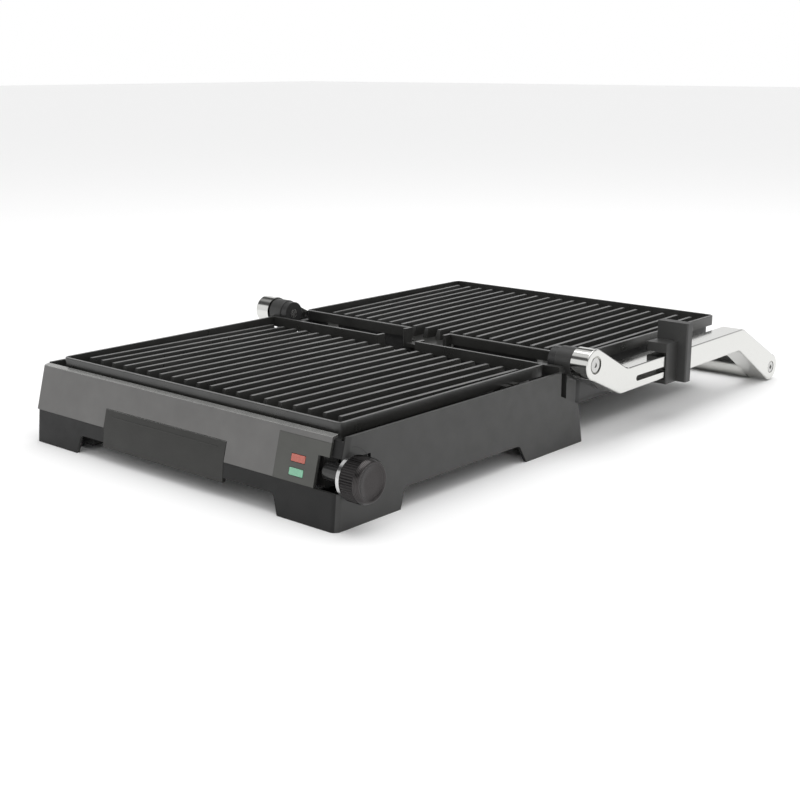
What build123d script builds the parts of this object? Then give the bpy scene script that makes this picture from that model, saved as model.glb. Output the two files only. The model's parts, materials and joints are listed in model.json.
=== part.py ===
"""Contact grill that opens flat to 180 degrees, shown open.

Frame: millimetres, +Z up, the table at Z = 0, +X towards the knob, +Y from the front of the
base to the handle. The origin is the bottom centre of the whole open grill.
Most sizes are given from the datum: the point on the table right under the hinge line,
midway between the two hinges.
"""
from build123d import *
import math
import os

# Gaps
FIT = 0.3                      # gap between pieces that move past each other
SEAT = 0.1                     # gap between fixed curved pieces
RUN = 0.05                     # radial running clearance at pins and shafts

# Cooking plates: their outline drives the width and the depth of the grill
HINGE_Z = 66.5                 # height of the hinge line above the table
PLATE_HALF_X = 150.6
PLATE_LENGTH = 228.8
PLATE_NEAR_Y = 20.0            # edge beside the hinge, from the hinge line
PLATE_FAR_Y = PLATE_NEAR_Y + PLATE_LENGTH
PLATE_RIM_DROP = 0.2           # the rims stop this far below the hinge line
PLATE_RIM_Z = HINGE_Z - PLATE_RIM_DROP
PLATE_RIM_HEIGHT = 8.5
PLATE_RIM_THICK = 2.8
PLATE_FLOOR_DEPTH = 8.6        # floor below the rim at the far edge
PLATE_FALL = 4.0               # the floor falls this much towards the drain
PLATE_FLOOR_THICK = 3.0
PLATE_CORNER_R = 7.0
PLATE_BODY_INSET = 6.4         # the plate's body under the rim is this much smaller
PLATE_EDGE_R = 0.6             # eased edge of the rim
RIB_SIDE_GAP = 15.0            # outermost ribs to the side edges, at least
RIB_PITCH = 14.2
RIB_CREST = 3.0                # width of a rib's crest
RIB_FOOT = 5.2                 # width of a rib where it leaves the floor
RIB_BELOW_RIM = 1.2            # crest below the rim at the far end
RIB_FALL = 2.4                 # the crests fall this much towards the drain
RIB_END_LEAN = 2.5             # slope of a rib's ends
LOWER_RIB_FAR_GAP = 14.0       # rib ends to the far edge
LOWER_RIB_NEAR_GAP = 14.0
UPPER_RIB_FAR_GAP = 15.3
UPPER_RIB_NEAR_GAP = 20.0
DRAIN_HALF_X = 20.5            # half width of the drain gap in the near rim
SPOUT_REACH = 7.0              # the drain spout runs on towards the hinge line
SPOUT_LIP = 3.2                # thickness of the spout's side lips
LATCH_WIDTH = 14.0             # lugs that the latches hold
LATCH_DEPTH = 7.0
LATCH_INSET_X = 32.6           # latch lug's middle in from the plate's side
SIDE_LUG_Y = (-75.5, -66.0)    # two cast lugs on the lower plate's right side
SIDE_LUG_LOW_Z = (16.7, 12.0)  # their lower ends below the hinge line
SIDE_LUG_TOP_Z = 6.4           # their tops below the hinge line
SIDE_LUG_LENGTH = 6.6
SIDE_LUG_REACH = 5.6           # how far they stand out past the rim
SIDE_LUG_ROOT = 1.4            # how far they go into the rim

# Base housing
BASE_MARGIN_X = 13.1           # outer side face beyond the plates' side edge
BASE_HALF_X = PLATE_HALF_X + BASE_MARGIN_X
FRONT_MARGIN_Y = 7.7           # upper front edge beyond the plate's far edge
FRONT_TOP_Y = -PLATE_FAR_Y - FRONT_MARGIN_Y
FRONT_LEAN_Y = 9.5             # the front leans back this much above the crease
CREASE_Y = FRONT_TOP_Y - FRONT_LEAN_Y
CREASE_Z = 25.5                # the front turns from upright to leaning back here
FOOT_FLARE_Y = 2.4
FRONT_FOOT_Y = CREASE_Y - FOOT_FLARE_Y
SIDE_DROP = 5.5                # top edge of the side walls below the hinge line
SIDE_TOP_Z = HINGE_Z - SIDE_DROP
SIDE_TOP_END_Y = 1.8 - PLATE_NEAR_Y
REAR_STEP_DROP = 18.6          # the side wall drops this much ahead of the hinge
REAR_STEP_Z = SIDE_TOP_Z - REAR_STEP_DROP
REAR_TOP_Y = 10.1              # then slopes down to the rear wall
REAR_SLOPE_DROP = 12.3
REAR_TOP_Z = REAR_STEP_Z - REAR_SLOPE_DROP
REAR_FLARE_Y = 6.0
REAR_FOOT_Y = REAR_TOP_Y + REAR_FLARE_Y
WALL = 2.6                     # moulded wall
CORNER_R = 5.0                 # upright corners of the base
ARCH_Z = 14.6                  # clear height under the front and the sides
ARCH_CORNER_R = 4.0            # rounded upper corners of the gaps
ARCH_LEAN = 5.0                # how far the ends of a gap lean in at the top
FOOT_WIDTH = 53.2              # length of each foot along the front
FRONT_ARCH_HALF_X = BASE_HALF_X - FOOT_WIDTH
SIDE_ARCH_FRONT_Y = FRONT_FOOT_Y + 62.9
SIDE_ARCH_REAR_Y = REAR_FOOT_Y - 77.0
SHELF_OVERLAP = 2.1            # the ledge reaches this far in under the heat shield
PROP_WIDTH = 4.0               # props on the ledge that the lower plate's rim rests on
PROP_LENGTH = 12.0

# Front fascia, control cover and lamps
FASCIA_THICK = 2.0
FASCIA_DROP = 1.6              # top lip below the side walls' top edge
FASCIA_TOP_Z = SIDE_TOP_Z - FASCIA_DROP
FASCIA_END_GAP = 12.0          # right end of the fascia's top lip in from the side face
FASCIA_RIGHT_X = BASE_HALF_X - FASCIA_END_GAP
LIP_DEPTH = 5.0                # the fascia's top lip runs back this far
COVER_WIDTH = 59.2             # control cover's seam in from the side face
COVER_LEFT_X = BASE_HALF_X - COVER_WIDTH
COVER_DROP = 3.9
COVER_TOP_Z = FASCIA_TOP_Z - COVER_DROP
KNOB_Z = 34.8                  # knob axis above the table
KNOB_BEHIND_FRONT = 2.6
KNOB_Y = FRONT_TOP_Y + KNOB_BEHIND_FRONT
KNOB_R = 15.3                  # knob's largest radius
POCKET_WIDTH = 21.7            # pocket in the corner for the knob's neck
POCKET_LEFT_X = BASE_HALF_X - POCKET_WIDTH
POCKET_BELOW = 9.8
POCKET_ABOVE = 11.7
POCKET_LOW_Z = KNOB_Z - POCKET_BELOW
POCKET_HIGH_Z = KNOB_Z + POCKET_ABOVE
POCKET_DEPTH = 22.0
LENS_X = BASE_HALF_X - 38.7    # middle of both lamp lenses
LENS_WIDTH = 12.6
LENS_HEIGHT = 5.0
LENS_CORNER_R = 0.6
LENS_EDGE_R = 0.15
LENS_PITCH = 8.8
RED_LENS_Z = 41.0
GREEN_LENS_Z = RED_LENS_Z - LENS_PITCH
LAMP_R = 2.2
LAMP_LENGTH = 9.0

# Drip tray
TRAY_LEFT_X = 86.2 - BASE_HALF_X
TRAY_RIGHT_X = BASE_HALF_X - 107.7
TRAY_FRONT_LOW_Z = 11.2
TRAY_FRONT_TOP_Z = 39.4
TRAY_FRONT_THICK = 3.0
TRAY_WALL = 1.6
TRAY_FLOOR_Z = 17.5
TRAY_RIM_Z = 35.0
TRAY_BACK_GAP = 16.1
TRAY_BACK_Y = REAR_TOP_Y - TRAY_BACK_GAP
TRAY_INSET = 5.0               # the trough is narrower than its front on each side
TRAY_CORNER_R = 4.0
RUNNER_WIDTH = 6.0

# Bottom cover and feet
COVER_THICK = 2.4
PAD_R = 9.0
PAD_THICK = 3.0
PAD_EDGE_R = 0.8
PAD_IN_X = 18.0                # pad centre in from the side face
PAD_FRONT_Y = FRONT_FOOT_Y + 18.4
PAD_REAR_Y = REAR_FOOT_Y - 22.1
FOOT_PLATE_MARGIN = 3.0        # the plate that carries a pad is this much longer each way

# Power inlet in the rear wall
INLET_IN_X = 45.7              # in from the left side face
INLET_Z = 19.5
INLET_R = 6.4                  # collar outside the wall
INLET_NECK_R = 5.0
INLET_BORE_R = 3.4
INLET_COLLAR = 4.0
INLET_TAIL = 5.0               # length inside the wall

# Heaters and heat shields
HEATER_R = 3.3
HEATER_INSET = 45.6            # rod in from the plate's sides
HEATER_HALF_X = PLATE_HALF_X - HEATER_INSET
HEATER_MARGIN_Y = 32.0
HEATER_NEAR_Y = PLATE_NEAR_Y + HEATER_MARGIN_Y
HEATER_FAR_Y = PLATE_FAR_Y - HEATER_MARGIN_Y
HEATER_BEND_R = 20.0
HEATER_BELOW_PLATE = 0.4
CLIP_FROM_BEND = 40.0          # clips that hold the rod, from its bends
CLIP_WIDTH = 12.0
CLIP_LENGTH = 8.0
CLIP_THICK = 0.6
CLIP_LEG = 3.0
SHIELD_THICK = 1.0
SHIELD_DEPTH = 12.0
SHIELD_INSET = 3.0
SHIELD_CORNER_R = 5.0

# Arms and handle
ARM_GAP_X = 12.0               # inner face of each arm beyond the plates' side edge
ARM_WIDTH = 19.9
ARM_IN_X = PLATE_HALF_X + ARM_GAP_X
ARM_OUT_X = ARM_IN_X + ARM_WIDTH
ARM_DROP = 10.5                # top of the level bar below the hinge line
ARM_HEIGHT = 19.2
ARM_TOP_Z = HINGE_Z - ARM_DROP
ARM_LOW_Z = ARM_TOP_Z - ARM_HEIGHT
ARM_DIP_Y = 47.0               # the arm turns level here
ARM_DIP_SHIFT = 9.0            # lower bends lie this far ahead of the upper ones
ARM_BEND_SHIFT = 5.0
ARM_RISE = 2.2                 # the level bar rises this much towards its bend
ARM_BEND_R = 10.0
ARM_END_R = 12.2
ARM_EDGE_R = 1.2               # eased long edges
HANDLE_R = 13.0                # handle tube, outside radius: it rests on the table
HANDLE_GAP_Y = 54.2            # handle axis beyond the plate's far edge
HINGE_TO_HANDLE = PLATE_FAR_Y + HANDLE_GAP_Y
ARM_BEND_BACK = 60.0           # the arm bends down this far ahead of the handle
ARM_BEND_Y = HINGE_TO_HANDLE - ARM_BEND_BACK
SLOT_START_Y = 60.0
SLOT_END_Y = 142.0
SLOT_HEIGHT = 4.6
slot_z = (ARM_TOP_Z + ARM_LOW_Z) / 2 - 1
HANDLE_WALL = 1.5
HANDLE_PLUG_LENGTH = 16.0
END_TOP_ANGLE = 46.0           # where the arm's edges meet its round end
END_LOW_ANGLE = 232.0
END_RECESS_R = 5.6
END_RECESS_DEPTH = 1.6
END_SCREW_R = 4.8
SCREW_SHANK_R = 1.5
SCREW_SOCKET_R = 2.3
HEAD_SUNK = 0.2                # screw heads below the arm's face

# Hinges
PIN_R = 4.0
BARREL_R = 11.3
BARREL_GAP_X = 0.9             # barrel beyond the plates' side edge
BARREL_SUNK = 3.4              # how far the barrel goes into the arm's hollow
BARREL_EDGE_R = 0.8
BARREL_IN_X = PLATE_HALF_X + BARREL_GAP_X
BARREL_OUT_X = ARM_IN_X + BARREL_SUNK
EAR_THICK = 6.6
EAR_IN_X = BARREL_IN_X - SEAT - EAR_THICK
EAR_R = 10.4
EAR_REACH_Y = 14.0             # how far the ear runs along the lid's side
EAR_RISE = 22.0                # where its lower edge meets the lid, above the lid's bottom
BOSS_R = 12.3
BOSS_TOP_ANGLE = 63.0          # where the arm's edges leave the boss
BOSS_LOW_ANGLE = 232.0
BOSS_HOLLOW = 2.0              # the hollow round the barrel is this much larger than the boss
BOSS_PLAY = 1.0
BOSS_IN_X = BARREL_OUT_X + BOSS_PLAY
BOSS_RECESS_R = 7.2
BOSS_RECESS_DEPTH = 2.4
PIN_HEAD_R = 5.6
PIN_HEAD_THICK = 1.8
POST_IN_X = BARREL_IN_X + 0.5
POST_OUT_X = BASE_HALF_X - WALL - 2 * FIT
POST_HALF_Y = 6.5
STRAP_INSET_X = 13.0           # the strap reaches this far in from the plate's side
STRAP_IN_X = PLATE_HALF_X - STRAP_INSET_X
STRAP_DROP = 2.2
STRAP_TOP_Z = HINGE_Z - STRAP_DROP
STRAP_THICK = 5.4
STRAP_FRONT_Y = -17.0
STRAP_BACK_Y = -EAR_R - 2 * FIT
STRAP_CORNER_R = 1.5

# Lid housing
LID_INSET_X = 3.1              # side faces in from the plates' side edge
LID_HALF_X = PLATE_HALF_X - LID_INSET_X
LID_DEPTH = 44.5               # bottom of the lid below the hinge line
LID_BOTTOM_Z = HINGE_Z - LID_DEPTH
LID_WALL = 2.4
LID_NEAR_INSET = 3.0
LID_FAR_INSET = 2.8
LID_NEAR_Y = PLATE_NEAR_Y + LID_NEAR_INSET
LID_FAR_Y = PLATE_FAR_Y - LID_FAR_INSET
LID_CORNER_R = 10.0
LID_EDGE_R = 7.0
STUD_R = 5.0
STUD_FAR_Y = LID_FAR_Y - 32.0
STUD_PITCH = 44.0
STUD_NEAR_Y = STUD_FAR_Y - STUD_PITCH

# Lock slider on the right arm
SLIDER_Y = 120.6               # front of the tall part
SLIDER_THICK = 9.0
SLIDER_OVERHANG = 10.5         # tall part beyond the arm's outer face
SLIDER_OUT_X = ARM_OUT_X + SLIDER_OVERHANG
SLIDER_RISE = 15.5             # top above the hinge line
SLIDER_TOP_Z = HINGE_Z + SLIDER_RISE
SLIDER_UNDER = 4.2
SLIDER_LOW_Z = ARM_LOW_Z - SLIDER_UNDER
SLIDER_STEP_DEPTH = 16.0
SLIDER_WALL = 1.6              # sleeve's outer wall
SLIDER_BORE_PLAY = 0.6
SLIDER_TOP_PLAY = 2.8
SLIDER_CORNER_R = 1.4
SLIDER_CLEAR_X = 0.7           # clear of the base's side wall when the grill is shut
SLIDER_PIN_R = 1.9

# Knob and thermostat
KNOB_GAP_X = 3.5               # back of the knob beyond the side face
KNOB_LENGTH = 15.3
KNOB_IN_X = BASE_HALF_X + KNOB_GAP_X
KNOB_OUT_X = KNOB_IN_X + KNOB_LENGTH
KNOB_BEVEL = 1.7               # bevel at the knob's outer end
KNOB_BEVEL_LENGTH = 3.2
KNOB_DISH = 0.5                # end face sunk inside its rim
KNOB_RIM = 1.6
COLLAR_R = 14.0
COLLAR_THICK = 2.8
NECK_R = 6.6
NECK_LENGTH = 22.1
NECK_IN_X = KNOB_IN_X - SEAT - NECK_LENGTH
SHAFT_R = 3.0
SHAFT_LENGTH = 4.0
THERMOSTAT_SIZE = 26.0
THERMOSTAT_THICK = 11.6
THERMOSTAT_CORNER_R = 2.0
THERMOSTAT_OUT_X = NECK_IN_X - SHAFT_LENGTH
THERMOSTAT_IN_X = THERMOSTAT_OUT_X - THERMOSTAT_THICK

MID_X = (ARM_OUT_X - SLIDER_OUT_X) / 2
HINGE_Y = (KNOB_R - KNOB_Y - HINGE_TO_HANDLE - HANDLE_R) / 2
plate_under_z = PLATE_RIM_Z - PLATE_FLOOR_DEPTH - PLATE_FALL - PLATE_FLOOR_THICK
heater_z = plate_under_z - HEATER_BELOW_PLATE - HEATER_R
shield_top_z = plate_under_z - SEAT
shelf_z = shield_top_z - SHIELD_DEPTH - SEAT
BASE_DEPTH = REAR_FOOT_Y - FRONT_FOOT_Y
WIDE = 4 * BASE_HALF_X         # longer than any piece, for cutting right through
PAST = 1.0                     # how far a cutting shape runs past the face it cuts

os.makedirs("parts", exist_ok=True)


def level(z):
    """Plane parallel to the table at height z, centred on the datum."""
    return Plane(origin=(MID_X, HINGE_Y, z), x_dir=(1, 0, 0), z_dir=(0, 0, 1))


def station(x):
    """Upright plane across X: sketch X runs along Y from the hinge line, sketch Y is height."""
    return Plane(origin=(MID_X + x, HINGE_Y, 0), x_dir=(0, 1, 0), z_dir=(1, 0, 0))


def facing(y):
    """Upright plane facing the front: sketch X is X from the middle, sketch Y is height."""
    return Plane(origin=(MID_X, HINGE_Y + y, 0), x_dir=(1, 0, 0), z_dir=(0, -1, 0))


def keep(piece, name):
    """Label a finished piece and write it."""
    piece.label = name
    export_step(piece, f"parts/{name}.step")


def front_y(z):
    """Y of the base's front face at height z."""
    if z <= CREASE_Z:
        return FRONT_FOOT_Y + (CREASE_Y - FRONT_FOOT_Y) * z / CREASE_Z
    return CREASE_Y + (FRONT_TOP_Y - CREASE_Y) * (z - CREASE_Z) / (SIDE_TOP_Z - CREASE_Z)


def on_front(z, depth=0):
    """Plane on the leaning part of the front at height z, or sunk behind it by depth."""
    lean = math.atan2(FRONT_TOP_Y - CREASE_Y, SIDE_TOP_Z - CREASE_Z)
    out = Vector(0, -math.cos(lean), math.sin(lean))
    return Plane(origin=Vector(MID_X, HINGE_Y + front_y(z), z) - out * depth, x_dir=(1, 0, 0), z_dir=out)


def mirrored(piece):
    """The same piece on the other side of the middle plane."""
    return mirror(piece, about=station(0))


# Base housing: side walls, front wall and rear wall in one moulding, open above and below
with BuildPart() as base_housing:
    with BuildSketch(station(-BASE_HALF_X)):
        Polygon((FRONT_FOOT_Y, 0), (CREASE_Y, CREASE_Z), (FRONT_TOP_Y, SIDE_TOP_Z),
                (SIDE_TOP_END_Y, SIDE_TOP_Z), (SIDE_TOP_END_Y, REAR_STEP_Z),
                (REAR_TOP_Y, REAR_TOP_Z), (REAR_FOOT_Y, 0), align=None)
    extrude(amount=2 * BASE_HALF_X)
    fillet(base_housing.edges().filter_by(
        lambda e: abs(e.tangent_at(0.5).X) < 0.01 and abs(e.tangent_at(0.5).Z) > 0.9
        and (e.center().Y < HINGE_Y + FRONT_TOP_Y or e.center().Y > HINGE_Y)), CORNER_R)
    with BuildSketch(station(-BASE_HALF_X + WALL)):
        Polygon((FRONT_FOOT_Y + WALL, -1), (CREASE_Y + WALL, CREASE_Z),
                (FRONT_TOP_Y + WALL, SIDE_TOP_Z + 1), (REAR_TOP_Y - WALL, SIDE_TOP_Z + 1),
                (REAR_TOP_Y - WALL, REAR_TOP_Z - WALL), (REAR_FOOT_Y - WALL, -1), align=None)
    extrude(amount=2 * (BASE_HALF_X - WALL), mode=Mode.SUBTRACT)
    for side in (-1, 1):
        ledge_in_x = PLATE_HALF_X - PLATE_BODY_INSET - SHIELD_INSET - SHELF_OVERLAP
        ledge_width = BASE_HALF_X - WALL - ledge_in_x
        ledge_x = side * (ledge_in_x + ledge_width / 2)
        ledge_y = (FRONT_TOP_Y + SIDE_TOP_END_Y) / 2
        ledge_length = SIDE_TOP_END_Y - FRONT_TOP_Y - 2 * POCKET_DEPTH
        with BuildSketch(level(shelf_z - WALL)):
            with Locations((ledge_x, ledge_y)):
                Rectangle(ledge_width + SEAT, ledge_length)
        extrude(amount=WALL)
        prop_x = side * (PLATE_HALF_X - PLATE_BODY_INSET + SEAT + PROP_WIDTH / 2)
        with BuildSketch(level(shelf_z - SEAT)):
            with Locations((prop_x, ledge_y - ledge_length / 3), (prop_x, ledge_y + ledge_length / 3)):
                Rectangle(PROP_WIDTH, PROP_LENGTH)
        extrude(amount=PLATE_RIM_Z - PLATE_RIM_HEIGHT - shelf_z)
    with BuildSketch(facing(REAR_FOOT_Y + PAST)) as front_arch:
        Polygon((-FRONT_ARCH_HALF_X, -PAST), (FRONT_ARCH_HALF_X, -PAST),
                (FRONT_ARCH_HALF_X - ARCH_LEAN, ARCH_Z), (-FRONT_ARCH_HALF_X + ARCH_LEAN, ARCH_Z),
                align=None)
        fillet(front_arch.vertices().group_by(Axis.Y)[-1], ARCH_CORNER_R)
    extrude(amount=BASE_DEPTH + 2 * PAST, mode=Mode.SUBTRACT)
    with BuildSketch(station(-WIDE / 2)) as side_arch:
        Polygon((SIDE_ARCH_FRONT_Y, -PAST), (SIDE_ARCH_REAR_Y, -PAST),
                (SIDE_ARCH_REAR_Y - 2 * ARCH_LEAN, ARCH_Z), (SIDE_ARCH_FRONT_Y + ARCH_LEAN, ARCH_Z),
                align=None)
        fillet(side_arch.vertices().group_by(Axis.Y)[-1], ARCH_CORNER_R)
    extrude(amount=WIDE, mode=Mode.SUBTRACT)
    with BuildSketch(station(-BASE_HALF_X - 1)):
        Polygon((CREASE_Y - 1, CREASE_Z), (front_y(WIDE) - 1, WIDE),
                (front_y(WIDE) + FASCIA_THICK, WIDE), (CREASE_Y + FASCIA_THICK, CREASE_Z), align=None)
    extrude(amount=2 * BASE_HALF_X + 1 - WALL, mode=Mode.SUBTRACT)
    with BuildSketch(facing(FRONT_TOP_Y + 2 * WALL)):
        with Locations(((TRAY_LEFT_X + TRAY_RIGHT_X) / 2, 0)):
            Rectangle(TRAY_RIGHT_X - TRAY_LEFT_X + 2 * FIT, 2 * (TRAY_FRONT_TOP_Z + FIT))
    extrude(amount=2 * POCKET_DEPTH, mode=Mode.SUBTRACT)
    with BuildSketch(station(-BASE_HALF_X - 1)):
        Polygon((front_y(FASCIA_TOP_Z - FASCIA_THICK) - 1, FASCIA_TOP_Z - FASCIA_THICK),
                (front_y(SIDE_TOP_Z) + LIP_DEPTH, FASCIA_TOP_Z - FASCIA_THICK),
                (front_y(SIDE_TOP_Z) + LIP_DEPTH, WIDE), (front_y(SIDE_TOP_Z) - LIP_DEPTH, WIDE), align=None)
    extrude(amount=2 * BASE_HALF_X + 1 - WALL, mode=Mode.SUBTRACT)
    for lens_z in (RED_LENS_Z, GREEN_LENS_Z):
        with BuildSketch(on_front(lens_z)):
            with Locations((LENS_X, 0)):
                Circle(LAMP_R + FIT)
        extrude(amount=-POCKET_DEPTH / 2, mode=Mode.SUBTRACT)
    with BuildSketch(facing(FRONT_TOP_Y + POCKET_DEPTH)):
        with Locations(((POCKET_LEFT_X + WIDE / 2) / 2, (POCKET_LOW_Z + POCKET_HIGH_Z) / 2)):
            Rectangle(WIDE / 2 - POCKET_LEFT_X, POCKET_HIGH_Z - POCKET_LOW_Z)
    extrude(amount=2 * POCKET_DEPTH, mode=Mode.SUBTRACT)
    with BuildSketch(facing(REAR_FOOT_Y + PAST)):
        with Locations((INLET_IN_X - BASE_HALF_X, INLET_Z)):
            Circle(INLET_NECK_R + SEAT)
    extrude(amount=REAR_FLARE_Y + 2 * WALL, mode=Mode.SUBTRACT)
keep(base_housing.part, "base_housing")

# Power inlet: a flanged gland through the rear wall
with BuildPart() as power_inlet:
    inlet_wall_y = REAR_FOOT_Y - REAR_FLARE_Y * (INLET_Z - INLET_R) / REAR_TOP_Z
    with BuildSketch(facing(inlet_wall_y + SEAT + INLET_COLLAR)):
        with Locations((INLET_IN_X - BASE_HALF_X, INLET_Z)):
            Circle(INLET_R)
    extrude(amount=INLET_COLLAR)
    with BuildSketch(facing(inlet_wall_y + SEAT + INLET_COLLAR / 2)):
        with Locations((INLET_IN_X - BASE_HALF_X, INLET_Z)):
            Circle(INLET_NECK_R)
    extrude(amount=INLET_COLLAR / 2 + WALL + REAR_FLARE_Y / 2 + INLET_TAIL)
    fillet(power_inlet.edges().group_by(Axis.Y)[-1], PAD_EDGE_R)
    with BuildSketch(facing(REAR_FOOT_Y + INLET_COLLAR + PAST)):
        with Locations((INLET_IN_X - BASE_HALF_X, INLET_Z)):
            Circle(INLET_BORE_R)
    extrude(amount=WIDE / 4, mode=Mode.SUBTRACT)
keep(power_inlet.part, "power_inlet")

# Fascia: a satin panel on the front with a top lip, cut out for the tray
with BuildPart() as front_fascia:
    with BuildSketch(station(-BASE_HALF_X)):
        Polygon((CREASE_Y, CREASE_Z + SEAT), (front_y(FASCIA_TOP_Z), FASCIA_TOP_Z),
                (front_y(FASCIA_TOP_Z) + LIP_DEPTH, FASCIA_TOP_Z + FASCIA_THICK / 2),
                (front_y(FASCIA_TOP_Z) + LIP_DEPTH, FASCIA_TOP_Z - FASCIA_THICK / 2),
                (front_y(FASCIA_TOP_Z - FASCIA_THICK) + FASCIA_THICK - SEAT, FASCIA_TOP_Z - FASCIA_THICK),
                (CREASE_Y + FASCIA_THICK - SEAT, CREASE_Z + SEAT), align=None)
    extrude(amount=BASE_HALF_X + FASCIA_RIGHT_X)
    fillet(front_fascia.edges().filter_by(
        lambda e: abs(e.tangent_at(0.5).X) < 0.01 and abs(e.tangent_at(0.5).Z) > 0.9
        and e.center().X < MID_X and e.center().Y < HINGE_Y + front_y(e.center().Z) + SEAT), CORNER_R / 3)
    with BuildSketch(facing(FRONT_TOP_Y + POCKET_DEPTH)):
        with Locations(((TRAY_LEFT_X + TRAY_RIGHT_X) / 2, 0)):
            Rectangle(TRAY_RIGHT_X - TRAY_LEFT_X + 2 * FIT, 2 * (TRAY_FRONT_TOP_Z + FIT))
        with Locations(((COVER_LEFT_X + WIDE / 2) / 2, 0)):
            Rectangle(WIDE / 2 - COVER_LEFT_X, 2 * COVER_TOP_Z)
    extrude(amount=2 * POCKET_DEPTH, mode=Mode.SUBTRACT)
keep(front_fascia.part, "front_fascia")

# Control cover: the darker end of the fascia, with windows for the two lamps
with BuildPart() as control_cover:
    with BuildSketch(station(COVER_LEFT_X + SEAT)):
        Polygon((CREASE_Y, CREASE_Z + SEAT), (front_y(COVER_TOP_Z), COVER_TOP_Z - SEAT),
                (front_y(COVER_TOP_Z) + FASCIA_THICK - SEAT, COVER_TOP_Z - SEAT),
                (CREASE_Y + FASCIA_THICK - SEAT, CREASE_Z + SEAT), align=None)
    extrude(amount=BASE_HALF_X - WALL - COVER_LEFT_X - 2 * SEAT)
    with BuildSketch(facing(FRONT_TOP_Y + POCKET_DEPTH)):
        with Locations(((POCKET_LEFT_X + WIDE / 2) / 2, (POCKET_LOW_Z + POCKET_HIGH_Z) / 2)):
            Rectangle(WIDE / 2 - POCKET_LEFT_X, POCKET_HIGH_Z - POCKET_LOW_Z)
        with Locations(((FASCIA_RIGHT_X + WIDE / 2) / 2, COVER_TOP_Z)):
            Rectangle(WIDE / 2 - FASCIA_RIGHT_X, 2 * (COVER_TOP_Z - POCKET_HIGH_Z))
    extrude(amount=2 * POCKET_DEPTH, mode=Mode.SUBTRACT)
    for lens_z in (RED_LENS_Z, GREEN_LENS_Z):
        with BuildSketch(on_front(lens_z)):
            with Locations((LENS_X, 0)):
                RectangleRounded(LENS_WIDTH + 2 * FIT, LENS_HEIGHT + 2 * FIT, LENS_CORNER_R)
        extrude(amount=POCKET_DEPTH / 2, both=True, mode=Mode.SUBTRACT)
keep(control_cover.part, "control_cover")

# Lamp lenses in the cover's windows, and the lamps in bores behind them
for lens_name, lamp_name, lens_z in (("red_lens", "red_lamp", RED_LENS_Z),
                                     ("green_lens", "green_lamp", GREEN_LENS_Z)):
    with BuildPart() as lens:
        with BuildSketch(on_front(lens_z, FASCIA_THICK - SEAT)):
            with Locations((LENS_X, 0)):
                RectangleRounded(LENS_WIDTH, LENS_HEIGHT, LENS_CORNER_R)
        extrude(amount=FASCIA_THICK + SEAT)
        fillet(lens.edges().group_by(Axis.Y)[0], LENS_EDGE_R)
    keep(lens.part, lens_name)
    with BuildPart() as lamp:
        with BuildSketch(on_front(lens_z, FASCIA_THICK + LAMP_LENGTH)):
            with Locations((LENS_X, 0)):
                Circle(LAMP_R)
        extrude(amount=LAMP_LENGTH - SEAT)
        fillet(lamp.edges().group_by(Axis.Y)[0], LAMP_R / 3)
    keep(lamp.part, lamp_name)

# Drip tray: a long trough under the plates, behind a front panel that follows the crease
with BuildPart() as drip_tray:
    with BuildSketch(station(TRAY_LEFT_X)):
        Polygon((front_y(TRAY_FRONT_LOW_Z) - SEAT, TRAY_FRONT_LOW_Z), (CREASE_Y - SEAT, CREASE_Z),
                (front_y(TRAY_FRONT_TOP_Z) - SEAT, TRAY_FRONT_TOP_Z),
                (front_y(TRAY_FRONT_TOP_Z) + TRAY_FRONT_THICK, TRAY_FRONT_TOP_Z),
                (CREASE_Y + TRAY_FRONT_THICK, CREASE_Z),
                (front_y(TRAY_FRONT_LOW_Z) + TRAY_FRONT_THICK, TRAY_FRONT_LOW_Z), align=None)
    extrude(amount=TRAY_RIGHT_X - TRAY_LEFT_X)
    tray_front_y = front_y(TRAY_FLOOR_Z) + TRAY_FRONT_THICK - SEAT
    tray_mid = ((TRAY_LEFT_X + TRAY_RIGHT_X) / 2, (tray_front_y + TRAY_BACK_Y) / 2)
    tray_width = TRAY_RIGHT_X - TRAY_LEFT_X - 2 * TRAY_INSET
    tray_length = TRAY_BACK_Y - tray_front_y
    with BuildSketch(level(TRAY_FLOOR_Z - TRAY_WALL)):
        with Locations(tray_mid):
            RectangleRounded(tray_width, tray_length, TRAY_CORNER_R)
    extrude(amount=TRAY_RIM_Z - TRAY_FLOOR_Z + TRAY_WALL)
    with BuildSketch(level(TRAY_FLOOR_Z)):
        with Locations(tray_mid):
            RectangleRounded(tray_width - 2 * TRAY_WALL, tray_length - 2 * TRAY_FRONT_THICK,
                             TRAY_CORNER_R - TRAY_WALL)
    extrude(amount=TRAY_RIM_Z, mode=Mode.SUBTRACT)
keep(drip_tray.part, "drip_tray")

# Bottom cover between the feet, with the tray's two runners
with BuildPart() as bottom_cover:
    cover_front_y = FRONT_FOOT_Y + 2 * WALL + TRAY_FRONT_THICK
    cover_back_y = REAR_TOP_Y - 2 * WALL
    with BuildSketch(level(ARCH_Z - COVER_THICK)):
        with Locations((0, (cover_front_y + cover_back_y) / 2)):
            Rectangle(2 * (FRONT_ARCH_HALF_X - ARCH_LEAN - FIT), cover_back_y - cover_front_y)
    extrude(amount=COVER_THICK - FIT)
    with BuildSketch(level(ARCH_Z - FIT)):
        for side in (-1, 1):
            with Locations((tray_mid[0] + side * (tray_width / 2 - RUNNER_WIDTH), tray_mid[1])):
                Rectangle(RUNNER_WIDTH, tray_length - 4 * RUNNER_WIDTH)
    extrude(amount=TRAY_FLOOR_Z - TRAY_WALL - ARCH_Z)
keep(bottom_cover.part, "bottom_cover")

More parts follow.
